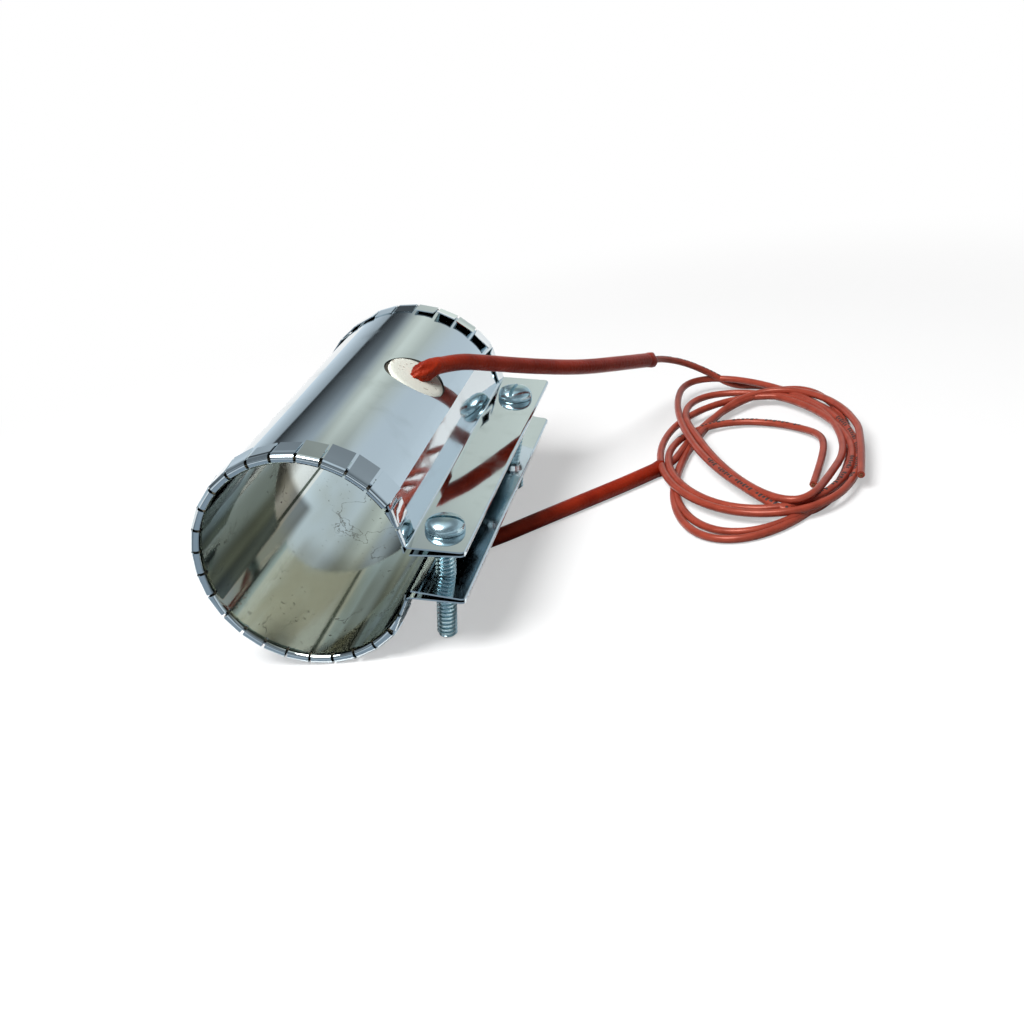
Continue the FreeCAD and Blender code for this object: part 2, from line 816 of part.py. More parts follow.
def make_coil():
    """The outer shape of the coiled leads: a low oval ring on the bench."""
    solids = []
    for name, inset in (("outer", 0), ("inner", S["coil_band"])):
        oval = doc.addObject("Part::Ellipse", "coil_" + name)
        bind(oval, "MajorRadius", S["coil_half_length"] - inset)
        bind(oval, "MinorRadius", S["coil_half_width"] - inset)
        oval.Placement = Placement(
            Vector(S["coil_centre_x"].value, S["coil_centre_y"].value, -rim_radius.value),
            Rotation(Vector(0, 0, 1), 90))
        solid = doc.addObject("Part::Extrusion", "coil_%s_solid" % name)
        solid.Base = oval
        solid.Dir = Vector(0, 0, 1)
        solid.Solid = True
        bind(solid, "LengthFwd", S["coil_height"])
        solids.append(solid)
    ring = doc.addObject("Part::Cut", "lead_coil")
    ring.Label = "lead_coil"
    ring.Base, ring.Tool = solids
    return ring


# ------------------------------------------------------------------ the part

def make_band_heater():
    pieces = [
        make_inner_sheath(),
        make_layer("inner_mica", inner_mica_inside, inner_mica_outside),
        make_layer("element_former", former_inside, former_outside),
        make_ribbon(),
        make_outer_mica(),
        make_outer_sheath(),
        make_screw("near", 0),
        make_screw("far", 90),
    ]
    routes = {
        "upper": (UPPER_SLEEVE_ROUTE, UPPER_LEAD_ROUTE),
        "lower": (LOWER_SLEEVE_ROUTE, LOWER_LEAD_ROUTE),
    }
    for side, (sleeve, lead) in routes.items():
        pieces.append(make_terminal(side))
        pieces.append(make_crimp(side))
        pieces.append(make_bush(side))
        pieces.append(make_root(side, sleeve))
        pieces.append(make_cord(side + "_sleeve", sleeve, S["sleeve_radius"]))
        pieces.append(make_cord(side + "_lead", lead, S["lead_radius"]))
    pieces.append(make_coil())
    return pieces


def check(pieces):
    for item in doc.Objects:
        if "Invalid" in item.State or "Error" in item.State:
            raise RuntimeError("%s failed: %s" % (item.Label, item.State))
    for piece in pieces:
        if piece.Shape.isNull() or not piece.Shape.isValid():
            raise RuntimeError("%s has no valid shape" % piece.Label)
        if len(piece.Shape.Solids) != 1:
            raise RuntimeError("%s is %d solids" % (piece.Label, len(piece.Shape.Solids)))


def write(pieces):
    os.makedirs("parts", exist_ok=True)
    for piece in pieces:
        piece.Shape.exportStep("parts/%s.step" % piece.Label)
        box = piece.Shape.BoundBox
        print("%-20s %9.1f mm3  x %.1f %.1f  y %.1f %.1f  z %.1f %.1f" % (
            piece.Label, piece.Shape.Volume, box.XMin, box.XMax,
            box.YMin, box.YMax, box.ZMin, box.ZMax))


parts = make_band_heater()
doc.recompute()
check(parts)
write(parts)
print("tilt %.3f degrees, bench at z = %.3f" % (rest_tilt(), -rim_radius.value))
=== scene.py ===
import json
import math

import bmesh
import bpy
from mathutils import Matrix, Vector, noise


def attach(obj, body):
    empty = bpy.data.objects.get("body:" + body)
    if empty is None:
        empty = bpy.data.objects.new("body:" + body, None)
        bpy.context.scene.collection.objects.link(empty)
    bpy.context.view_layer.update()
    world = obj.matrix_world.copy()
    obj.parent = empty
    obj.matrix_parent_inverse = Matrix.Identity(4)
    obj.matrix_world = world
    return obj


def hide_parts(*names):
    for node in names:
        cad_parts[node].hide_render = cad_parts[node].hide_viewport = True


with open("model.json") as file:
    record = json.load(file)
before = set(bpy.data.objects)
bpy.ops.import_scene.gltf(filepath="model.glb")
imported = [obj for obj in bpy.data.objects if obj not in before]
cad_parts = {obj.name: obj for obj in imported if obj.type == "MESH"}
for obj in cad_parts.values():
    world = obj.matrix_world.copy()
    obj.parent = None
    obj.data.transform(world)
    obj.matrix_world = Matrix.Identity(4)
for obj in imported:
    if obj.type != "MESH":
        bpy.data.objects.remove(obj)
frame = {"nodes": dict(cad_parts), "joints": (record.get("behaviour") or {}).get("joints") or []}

# A mica band heater on a pale bench: dressed screws, sleeves, leads and finishes
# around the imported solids. Metres, with millimetres written as n * MM.

MM = 0.001
TURN = 2 * math.pi
ROUND = 48
BENCH = -27.57 * MM
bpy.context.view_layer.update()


# ------------------------------------------------------------- finishes

STEEL = (0.66, 0.73, 0.76)


class Value:
    """One socket in a finish; sums written on it add the Math nodes."""

    def __init__(self, finish, socket):
        self.finish, self.socket = finish, socket

    def math(self, operation, *others, clamp=False):
        return self.finish.node("ShaderNodeMath", {"operation": operation, "use_clamp": clamp},
                                dict(enumerate((self,) + others)))

    def __add__(self, other):
        return self.math("ADD", other)

    __radd__ = __add__

    def __mul__(self, other):
        return self.math("MULTIPLY", other)

    __rmul__ = __mul__

    def __sub__(self, other):
        return self.math("SUBTRACT", other)

    def __rsub__(self, other):
        return self * -1 + other

    def __truediv__(self, other):
        return self.math("DIVIDE", other)

    def band(self, low, high):
        """0 below low, 1 above high, eased in between."""
        return self.finish.node("ShaderNodeMapRange", {"interpolation_type": "SMOOTHSTEP"},
                                {"Value": self, "From Min": low, "From Max": high})


class Finish:
    """A material, or the room round the bench, built from its own nodes."""

    def __init__(self, name, owner=None):
        self.owner = owner or bpy.data.materials.new(name)
        self.owner.use_nodes = True
        self.tree = self.owner.node_tree
        self.tree.nodes.clear()

    def node(self, kind, settings, sockets, out=0):
        made = self.tree.nodes.new(kind)
        for name, setting in settings.items():
            if name == "stops":
                ramp = made.color_ramp.elements
                for place, shade in setting[2:]:
                    ramp.new(place)
                for stop, (place, shade) in zip(ramp, setting):
                    stop.position, stop.color = place, (shade, shade, shade, 1)
            else:
                setattr(made, name, setting)
        for name, value in sockets.items():
            socket = made.inputs[name]
            if isinstance(value, Value):
                self.tree.links.new(value.socket, socket)
            elif socket.type == "RGBA" and len(value) == 3:
                socket.default_value = (*value, 1)
            else:
                socket.default_value = value
        return Value(self, made.outputs[out])

    def place(self, out="Object"):
        return self.node("ShaderNodeTexCoord", {}, {}, out)

    def parts(self, vector):
        """The x, y and z of a vector."""
        apart = self.node("ShaderNodeSeparateXYZ", {}, {0: vector})
        return [Value(self, output) for output in apart.socket.node.outputs]

    def seen(self):
        """1 for rays from the camera, mirrors and glass, 0 for diffuse light."""
        outputs = self.node("ShaderNodeLightPath", {}, {}, 0).socket.node.outputs
        camera, glossy, glass = (Value(self, outputs[name]) for name in (
            "Is Camera Ray", "Is Glossy Ray", "Is Transmission Ray"))
        return camera + glossy + glass

    def stretched(self, scale, where=None):
        return self.multiplied(where or self.place(), scale)

    def noise(self, scale, detail=2.0, where=None, rough=0.5, out="Fac"):
        return self.node("ShaderNodeTexNoise", {},
                         {"Vector": where or self.place(), "Scale": scale,
                          "Detail": detail, "Roughness": rough}, out)

    def multiplied(self, first, second):
        return self.node("ShaderNodeVectorMath", {"operation": "MULTIPLY"},
                         {0: first, 1: second})

    def mix(self, share, first, second):
        return self.node("ShaderNodeMix", {"data_type": "RGBA"},
                         {"Factor": share, 6: first, 7: second}, 2)

    def bump(self, height, strength, depth, below=None):
        sockets = {"Height": height, "Strength": strength, "Distance": depth}
        if below:
            sockets["Normal"] = below
        return self.node("ShaderNodeBump", {}, sockets)

    def surface(self, **sockets):
        named = {name.replace("_", " "): value for name, value in sockets.items()}
        return self.shown(self.node("ShaderNodeBsdfPrincipled", {}, named))

    def shown(self, shader, output="ShaderNodeOutputMaterial"):
        end = self.tree.nodes.new(output)
        self.tree.links.new(shader.socket, end.inputs["Surface"])
        return self.owner


def polished_stainless():
    """Mirror sheet: faint waves from the rolls, hairlines and a few dull smudges."""
    f = Finish("polished_stainless")
    waves = f.noise(26, 1.0, f.stretched((1, 0.3, 1)))
    hair = f.noise(300, 2.0, f.stretched((1, 0.05, 1)))
    smudge = f.noise(90, 4.0).band(0.52, 0.75)
    colour = f.mix(smudge * 0.5, STEEL, (0.56, 0.62, 0.63))
    return f.surface(Base_Color=colour, Metallic=1.0, Roughness=0.035 + smudge * 0.08 + hair * 0.03,
                     Normal=f.bump(hair, 0.04, 0.0002, f.bump(waves, 0.30, 0.0012)))


def bore_stainless():
    """The same sheet, stained straw and flecked inside the bore, with painted dark reflection on its left
    and lower walls.
    """
    f = Finish("bore_stainless")
    across, along, up = f.parts(f.place())
    radius = (across * across + up * up).math("SQRT")
    inside = 1 - radius.band(25.1 * MM, 25.5 * MM)
    waves = f.noise(30, 1.0, f.stretched((1, 0.22, 1)))
    hair = f.noise(260, 2.0, f.stretched((1, 0.04, 1)))
    stain = f.noise(38, 3.0, f.stretched((1, 0.4, 1))).band(0.42, 0.62)
    flecks = f.noise(900, 2.0).band(0.66, 0.72) * f.noise(70, 2.0).band(0.48, 0.58)
    contour = (f.noise(75, 5.0, f.stretched((1, 0.7, 1))) - 0.5).math("ABSOLUTE")
    scratches = (1 - contour.band(0.001, 0.006)) * f.noise(48, 1.0).band(0.50, 0.60)
    marks = flecks.math("MAXIMUM", scratches * 0.7)
    straw = f.mix(stain, (0.66, 0.73, 0.72), (0.54, 0.56, 0.48))
    turn = up.math("ARCTAN2", across) * (180 / math.pi)
    turn = turn + (1 - turn.band(-1, 1)) * 360
    # Painted reflection: the left, low and dusk zones darken the bore wall where it would mirror dark
    # surroundings, broken up a little by streaky noise.
    left = turn.band(120, 128) * (1 - turn.band(207, 213)) * (1 - along.band(0.057, 0.062))
    low = turn.band(266, 272) * (1 - along.band(0.030, 0.062)) * 0.75
    dusk = turn.band(216, 222) * (1 - turn.band(268, 272)) * (1 - along.band(0.040, 0.052)) * 0.35
    streaks = f.noise(60, 2.0, f.stretched((1, 0.12, 1))).band(0.35, 0.65)
    painted_dark_reflection = left.math("MAXIMUM", low).math("MAXIMUM", dusk) * (0.65 + streaks * 0.35)
    with_painted_dark_reflection = f.mix(painted_dark_reflection, straw, f.mix(stain, (0.08, 0.09, 0.10), (0.19, 0.18, 0.12)))
    flecked = f.mix(marks * 0.8, with_painted_dark_reflection, (0.10, 0.09, 0.07))
    colour = f.mix(inside, STEEL, flecked)
    return f.surface(Base_Color=colour, Metallic=1.0,
                     Roughness=0.04 + inside * (stain * 0.03 + marks * 0.3),
                     Normal=f.bump(hair, 0.04, 0.0002, f.bump(waves, 0.30, 0.0012)))


def zinc_plate():
    f = Finish("zinc_plate")
    cloud = f.noise(500, 3.0)
    colour = f.mix(cloud, (0.38, 0.54, 0.58), (0.58, 0.73, 0.78))
    return f.surface(Base_Color=colour, Metallic=1.0, Roughness=0.20 + cloud * 0.10,
                     Normal=f.bump(cloud, 0.15, 0.0001))


def ceramic_fibre():
    f = Finish("ceramic_fibre")
    grain = f.noise(1500, 3.0)
    specks = f.noise(1100, 2.0).band(0.60, 0.68) * f.noise(110, 1.0).band(0.45, 0.60)
    colour = f.mix(specks * 0.7, (0.88, 0.90, 0.80), (0.34, 0.26, 0.19))
    return f.surface(Base_Color=colour, Roughness=0.85,
                     Normal=f.bump(grain, 0.5, 0.0002))


def braided_sleeving():
    """Glass braid soaked in red-brown silicone: fine noise bumps under a gloss."""
    f = Finish("braided_sleeving")
    fine = f.noise(1400, 2.0)
    patches = f.noise(120, 3.0)
    colour = f.mix(patches.band(0.3, 0.7), (0.33, 0.024, 0.007), (0.20, 0.011, 0.003))
    return f.surface(Base_Color=colour, Roughness=0.30 + patches * 0.15,
                     Specular_IOR_Level=0.4, Specular_Tint=(1.0, 0.32, 0.22),
                     Normal=f.bump(fine, 0.6, 0.0003))


def silicone_rubber():
    f = Finish("silicone_rubber")
    dust = f.noise(300, 3.0)
    colour = f.mix(dust.band(0.35, 0.75), (0.36, 0.060, 0.034), (0.27, 0.042, 0.024))
    return f.surface(Base_Color=colour, Roughness=0.24 + dust * 0.12,
                     Specular_IOR_Level=0.6, Specular_Tint=(1.0, 0.50, 0.40),
                     Normal=f.bump(dust, 0.06, 0.0002))


def plain(name, colour, rough, metallic=0.0, scale=300):
    f = Finish(name)
    cloud = f.noise(scale, 3.0)
    shade = f.mix(cloud.band(0.3, 0.7), colour, tuple(c * 0.8 for c in colour))
    return f.surface(Base_Color=shade, Metallic=metallic, Roughness=rough + cloud * 0.1)


STAINLESS = polished_stainless()
BORE_STAINLESS = bore_stainless()
ZINC = zinc_plate()
CERAMIC = ceramic_fibre()
SLEEVING = braided_sleeving()
SILICONE = silicone_rubber()
MICA = plain("mica_board", (0.45, 0.38, 0.26), 0.4)
# Painted shadow: the outer mica is coloured near black, so that where it shows through the sheath, as
# round the ceramic disc, it reads as deep shade.
MICA_PAINTED_SHADOW = plain("mica_painted_shadow", (0.06, 0.05, 0.035), 0.6)
ALLOY = plain("resistance_alloy", (0.42, 0.38, 0.34), 0.35, 1.0)
TERMINAL = plain("terminal_metal", (0.62, 0.60, 0.54), 0.3, 1.0)
STRANDS = plain("copper_strands", (0.30, 0.13, 0.07), 0.4, 1.0, 2000)
MARK_INK = plain("marking_ink", (0.035, 0.022, 0.02), 0.5)

NODE_FINISH = {
    "inner_sheath": BORE_STAINLESS, "outer_sheath": STAINLESS,
    "inner_mica": MICA, "element_former": MICA, "outer_mica": MICA_PAINTED_SHADOW,
    "resistance_ribbon": ALLOY,
    "upper_terminal": TERMINAL, "lower_terminal": TERMINAL,
    "upper_crimp": TERMINAL, "lower_crimp": TERMINAL,
    "upper_bush": CERAMIC, "lower_bush": CERAMIC,
}
for node, finish in NODE_FINISH.items():
    mesh = frame["nodes"][node].data
    mesh.materials.clear()
    mesh.materials.append(finish)
    mesh.shade_smooth()
    mesh.set_sharp_from_angle(angle=math.radians(30))


# --------------------------------------------------------------- pieces

def piece(name, points, faces, finish, body, stands_for=(), crease=35):
    mesh = bpy.data.meshes.new(name)
    mesh.from_pydata(points, [], faces)
    mesh.validate()
    work = bmesh.new()
    work.from_mesh(mesh)
    bmesh.ops.remove_doubles(work, verts=work.verts, dist=0.002 * MM)
    bmesh.ops.recalc_face_normals(work, faces=work.faces)
    work.to_mesh(mesh)
    work.free()
    mesh.shade_smooth()
    mesh.set_sharp_from_angle(angle=math.radians(crease))
    mesh.materials.append(finish)
    made = bpy.data.objects.new(name, mesh)
    bpy.context.scene.collection.objects.link(made)
    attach(made, body)
    if stands_for:
        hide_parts(*stands_for)
    return made


def joined(*shapes):
    points, faces = [], []
    for more_points, more_faces in shapes:
        start = len(points)
        points += more_points
        faces += [tuple(start + n for n in face) for face in more_faces]
    return points, faces


def cord_frame(direction):
    """Two directions square to a cord's own."""
    side = direction.cross(Vector((0, 0, 1))).normalized()
    return side, side.cross(direction).normalized()


# -------------------------------------------- the bore wall and its rolled tabs

BORE, RIM, WIDTH = 25.0, 27.55, 110.0
WALL_GAUGE, TAB_GAUGE = 0.4, 0.28
TABS, TAB_LENGTH, SLIT, SLIT_DEPTH = 22, 7.4, 0.75, 2.0
GAP_EDGE, LIP_EDGE, RING_START = 12.3, 15.8, 38.0
FLAT_LEAN, FLAT_FOOT, FLAT_END = math.radians(20), -1.8, 7.9
ROLL = 1.28
screw_axis = Vector(frame["joints"][0]["axis"]).normalized()
TILT = math.atan2(screw_axis.x, screw_axis.z)


def tilted(x, y, z):
    """A point of the band's own section, as the band lies on the bench."""
    return Vector((x * math.cos(TILT) + z * math.sin(TILT), y,
                   z * math.cos(TILT) - x * math.sin(TILT)))


def sheet_of(rows, gauge):
    """A closed sheet of this gauge with a grid of points in its middle plane."""
    count, width = len(rows), len(rows[0])
    points, faces = [], []
    for side in (0.5, -0.5):
        for i, row in enumerate(rows):
            for j, point in enumerate(row):
                along = rows[min(i + 1, count - 1)][j] - rows[max(i - 1, 0)][j]
                across = row[min(j + 1, width - 1)] - row[max(j - 1, 0)]
                points.append(point + along.cross(across).normalized() * gauge * side)
    under = count * width
    for i in range(count - 1):
        for j in range(width - 1):
            a = i * width + j
            faces.append((a, a + 1, a + width + 1, a + width))
            faces.append((under + a, under + a + width, under + a + width + 1, under + a + 1))
    border = ([(i * width, (i + 1) * width) for i in range(count - 1)]
              + [((i + 1) * width - 1, (i + 2) * width - 1) for i in range(count - 1)]
              + [(j, j + 1) for j in range(width - 1)]
              + [((count - 1) * width + j, (count - 1) * width + j + 1)
                 for j in range(width - 1)])
    faces += [(a, b, under + b, under + a) for a, b in border]
    return points, faces


def room_to_lift(angle):
    """How far a tab at this angle may stand off and still clear the bench."""
    lean = angle - TILT
    return max(0, min(RIM / max(abs(math.sin(lean)), 0.01),
                      RIM / max(-math.cos(lean), 0.01)) - RIM)


def rolled_tab(wall, leaf, lift, twist, end):
    """One tab: off the bore wall, round the rim and back along the outside. wall and
    leaf give its section points for -1 to 1 across it."""
    rows = []
    across = [-1, -0.5, 0, 0.5, 1]
    for y in (SLIT_DEPTH, ROLL):
        rows.append([(wall(s), y) for s in across])
    for step in range(1, 9):
        turn = math.pi * step / 8
        row = []
        for s in across:
            low, high = wall(s), leaf(s)
            middle, half = (low + high) / 2, (high - low) / 2
            row.append((middle - half * math.cos(turn),
                        ROLL - (ROLL - TAB_GAUGE / 2) * math.sin(turn)))
        rows.append(row)
    for step in range(1, 5):
        share = step / 4
        row = []
        for s in across:
            off = leaf(s).normalized() * (lift + twist * s) * share ** 1.3
            row.append((leaf(s) + off, ROLL + (TAB_LENGTH - ROLL) * share))
        rows.append(row)
    placed = [[tilted(p.x, y if end == "near" else WIDTH - y, p.y) for p, y in row]
              for row in rows]
    return sheet_of(placed, TAB_GAUGE)


def ring_tab(number, end):
    pitch = math.radians(360 - 2 * RING_START) / TABS
    middle = math.radians(RING_START) + pitch * (number + 0.5)
    wander = noise.noise(Vector((number * 1.7, 9.3 if end == "near" else 3.1, 0)))
    half = pitch / 2 - (SLIT + 0.35 * wander) / 2 / RIM
    upright = math.degrees(middle - TILT)
    if end == "near":
        wish, twist = (1.25 if upright < 80 else 0.4) + 0.5 * wander, 0.3 * wander
    else:
        wish, twist = (1.1 if upright < 90 else 0.45) + 0.5 * wander, 0.25 * wander
    lift = min(wish, room_to_lift(middle - pitch / 2), room_to_lift(middle + pitch / 2))
    twist = max(-lift, min(lift, twist)) * 0.6

    def wall(s):
        reach, angle = BORE + TAB_GAUGE / 2, middle + s * half
        return Vector((reach * math.cos(angle), reach * math.sin(angle)))

    def leaf(s):
        angle = middle + s * half
        reach = (RIM - TAB_GAUGE / 2) * math.cos(pitch / 2) / math.cos(angle - middle)
        return Vector((reach * math.cos(angle), reach * math.sin(angle)))

    return rolled_tab(wall, leaf, lift, twist, end)


def flat_tab(side, number, end):
    """A tab over the flat beside the gap."""
    pitch = (FLAT_END - FLAT_FOOT) / 2
    low, high = FLAT_FOOT + number * pitch, FLAT_FOOT + (number + 1) * pitch - SLIT

    def on_flat(depth, along):
        return Vector((depth * math.cos(FLAT_LEAN) - along * math.sin(FLAT_LEAN),
                       side * (depth * math.sin(FLAT_LEAN) + along * math.cos(FLAT_LEAN))))

    def wall(s):
        along, reach = (low + high) / 2 + s * (high - low) / 2, BORE + TAB_GAUGE / 2
        return on_flat(math.sqrt(reach * reach - along * along), along)

    def leaf(s):
        return on_flat(26.02, (low + high) / 2 + s * (high - low) / 2)

    lift = (0.15, 0.3)[number] if end == "near" else (0.3, 0.8)[number]
    return rolled_tab(wall, leaf, lift, 0.1 * side, end)


def bore_wall():
    angles = [GAP_EDGE, LIP_EDGE - 0.01] + [
        LIP_EDGE + (360 - 2 * LIP_EDGE) * n / 120 for n in range(121)] + [
        360 - LIP_EDGE + 0.01, 360 - GAP_EDGE]
    rows = []
    for share in (0, 0.25, 0.5, 0.75, 1):
        row = []
        for angle in angles:
            lip = angle < LIP_EDGE or angle > 360 - LIP_EDGE
            edge = 0 if lip else SLIT_DEPTH
            reach = BORE + WALL_GAUGE / 2
            row.append(tilted(reach * math.cos(math.radians(angle)),
                              edge + (WIDTH - 2 * edge) * share,
                              reach * math.sin(math.radians(angle))))
        rows.append(row)
    return sheet_of(rows, WALL_GAUGE)


shapes = [bore_wall()]
for end in ("near", "far"):
    shapes += [ring_tab(number, end) for number in range(TABS)]
    shapes += [flat_tab(side, number, end) for side in (1, -1) for number in (0, 1)]
points, faces = joined(*shapes)
piece("bore_wall_with_tabs", [p * MM for p in points], faces, BORE_STAINLESS, "band",
      ["inner_sheath"], crease=30)


# ------------------------------------------- the ceramic disc and sleeve ends

EXIT_ANGLE, EXIT_PLACE = math.radians(64.2), 61.5
DISC_RADIUS, DISC_GAUGE, DISC_DEPTH, DISC_LEAN = 7.9, 0.9, 26.95, math.radians(5)


def ceramic_disc():
    """A flat disc in the round hole: sunk toward the band's crown, proud below."""
    normal = EXIT_ANGLE - DISC_LEAN
    out = tilted(math.cos(normal), 0, math.sin(normal))
    crown = tilted(-math.sin(normal), 0, math.cos(normal))
    middle = tilted(DISC_DEPTH * math.cos(EXIT_ANGLE), EXIT_PLACE,
                    DISC_DEPTH * math.sin(EXIT_ANGLE)) - crown * 0.5 - Vector((0, 0.2, 0))
    rings = [(1.2, -0.5), (1.5, 0), (4, 0), (6.5, 0), (7.6, 0), (7.8, -0.1),
             (DISC_RADIUS, -0.3), (DISC_RADIUS, -DISC_GAUGE), (1.2, -DISC_GAUGE)]
    points, faces = [], []
    for reach, height in rings:
        for step in range(ROUND):
            angle = TURN * step / ROUND
            here = (middle + crown * reach * math.cos(angle)
                    + Vector((0, 1, 0)) * reach * math.sin(angle))
            rough = noise.noise(here * 0.9) * 0.06 * (reach > 1.3)
            rough -= 0.5 * (reach * math.cos(angle) / DISC_RADIUS) ** 2
            points.append(here + out * (height + rough))
    for ring in range(len(rings)):
        near, far = ring * ROUND, (ring + 1) % len(rings) * ROUND
        faces += [(near + s, near + (s + 1) % ROUND, far + (s + 1) % ROUND, far + s)
                  for s in range(ROUND)]
    return points, faces


def crumpled_tube(spine, radii, pleats, depth, seed, round_steps=40):
    """A tube round a spine with pleats that fade where depth does."""
    points, faces = [], []
    for i, (place, radius, fold) in enumerate(zip(spine, radii, depth)):
        way = (spine[min(i + 1, len(spine) - 1)] - spine[max(i - 1, 0)]).normalized()
        side, up = cord_frame(way)
        for step in range(round_steps):
            angle = TURN * step / round_steps
            spot = place + (side * math.cos(angle) + up * math.sin(angle)) * radius
            crease = math.sin(pleats * angle + 1.4 * math.sin(i * 0.5 + seed))
            crumple = noise.noise(spot * 0.8 + Vector((seed, 0, 0)))
            wrinkle = noise.noise(spot * 2.2 + Vector((seed, 5, 0)))
            reach = radius + fold * (0.5 * crease + 1.1 * crumple + 0.5 * wrinkle)
            points.append(place + (side * math.cos(angle) + up * math.sin(angle)) * reach)
    for i in range(len(spine) - 1):
        near, far = i * round_steps, (i + 1) * round_steps
        faces += [(near + s, near + (s + 1) % round_steps, far + (s + 1) % round_steps, far + s)
                  for s in range(round_steps)]
    first, last = len(points), len(points) + 1
    points += [spine[0], spine[-1]]
    end = (len(spine) - 1) * round_steps
    faces += [(first, (s + 1) % round_steps, s) for s in range(round_steps)]
    faces += [(last, end + s, end + (s + 1) % round_steps) for s in range(round_steps)]
    return points, faces


def bowed(start, through, stop, count):
    """Points along a parabola from start to stop."""
    start, through, stop = Vector(start), Vector(through), Vector(stop)
    return [start * (1 - t) ** 2 + through * 2 * t * (1 - t) + stop * t * t
            for t in (n / (count - 1) for n in range(count))]


def gathered_root(side, start, through, stop, radii, seed):
    spine = bowed(start, through, stop, 19)
    steps = [n * (len(radii) - 1) / (len(spine) - 1) for n in range(len(spine))]
    smooth = [radii[int(x)] + (radii[min(int(x) + 1, len(radii) - 1)] - radii[int(x)]) * (x % 1)
              for x in steps]
    fold = [0.55 * (1 - n / 18) + 0.01 for n in range(19)]
    points, faces = crumpled_tube(spine, smooth, 6, fold, seed)
    piece(side + "_gathered_root", [p * MM for p in points], faces, SLEEVING, "band",
          [side + "_root"], crease=60)


def frayed_end(side, route, seed):
    """The cut end of a sleeve: a slightly spread and uneven lip round the lead."""
    stop, before = Vector(route[-1]), Vector(route[-2])
    way = (stop - before).normalized()
    spots = [(-2.6, 2.1), (-2.2, 2.23), (-1.2, 2.32), (-0.3, 2.42), (0.35, 2.32),
             (0.5, 1.95), (0.2, 1.5), (-0.2, 1.2)]
    spine = [stop + way * along for along, reach in spots]
    side_way, up = cord_frame(way)
    points, faces = [], []
    for i, (along, reach) in enumerate(spots):
        for step in range(ROUND):
            angle = TURN * step / ROUND
            ragged = noise.noise(Vector((math.cos(angle) * 2, math.sin(angle) * 2, seed)))
            out = side_way * math.cos(angle) + up * math.sin(angle)
            loose = max(0, 1 + along / 2.6)
            spot = (stop + way * (along + 0.5 * ragged * loose)
                    + out * (reach + 0.25 * ragged * loose))
            spot.z = max(spot.z, BENCH / MM + 0.02)
            points.append(spot)
    for i in range(len(spots) - 1):
        near, far = i * ROUND, (i + 1) * ROUND
        faces += [(near + s, near + (s + 1) % ROUND, far + (s + 1) % ROUND, far + s)
                  for s in range(ROUND)]
    return piece(side + "_frayed_end", [p * MM for p in points], faces, SLEEVING, "band",
                 crease=60)


points, faces = ceramic_disc()
piece("upper_ceramic_disc", [p * MM for p in points], faces, CERAMIC, "band",
      ["upper_bush"], crease=50)
gathered_root("upper", (14.4, 59.8, 20.3), (19.3, 63.2, 22.9), (22.07, 66.9, 21.66),
              (0.8, 1.7, 2.35, 2.6, 2.5, 2.35, 2.19), 4.0)
gathered_root("lower", (14.0, 46.3, -23.6), (16.0, 47.4, -24.9), (19.0, 49.8, -25.1),
              (1.6, 2.2, 2.4, 2.4, 2.3, 2.25), 7.0)


# ------------------------------------------------------- the clamp screws

THREAD_PITCH = 1.06
THREAD_MAJOR, THREAD_MINOR = 2.45, 1.85
SHANK, TIP_CHAMFER = 28.3, 0.6
HEAD_RADIUS, HEAD_HEIGHT, HEAD_EDGE = 4.75, 3.3, 0.55
SLOT_WIDTH, SLOT_DEPTH = 1.1, 1.6


def threaded_shank():
    """A right-hand thread whose rows of points run along the helix itself."""
    shape = [(0.0, THREAD_MINOR), (0.28, THREAD_MINOR + 0.06), (0.44, THREAD_MAJOR),
             (0.58, THREAD_MAJOR), (0.80, THREAD_MINOR + 0.06)]
    rows = [(turn + share, radius)
            for turn in range(-2, int(SHANK / THREAD_PITCH) + 2)
            for share, radius in shape]
    points = []
    for place, radius in rows:
        for step in range(ROUND):
            height = (place + step / ROUND) * THREAD_PITCH - SHANK
            height = min(max(height, -SHANK), 0)
            cone = THREAD_MAJOR - TIP_CHAMFER + (height + SHANK)
            reach = min(radius, cone)
            angle = TURN * step / ROUND
            points.append((reach * math.cos(angle), reach * math.sin(angle), height))
    faces = []
    for row in range(len(rows) - 1):
        for step in range(ROUND):
            ahead = step + 1
            near, far = row * ROUND + ahead, (row + 1) * ROUND + ahead
            if ahead == ROUND:
                if row + 1 + len(shape) >= len(rows):
                    continue
                near, far = (row + len(shape)) * ROUND, (row + 1 + len(shape)) * ROUND
            faces.append((row * ROUND + step, near, far, (row + 1) * ROUND + step))
    return points, faces


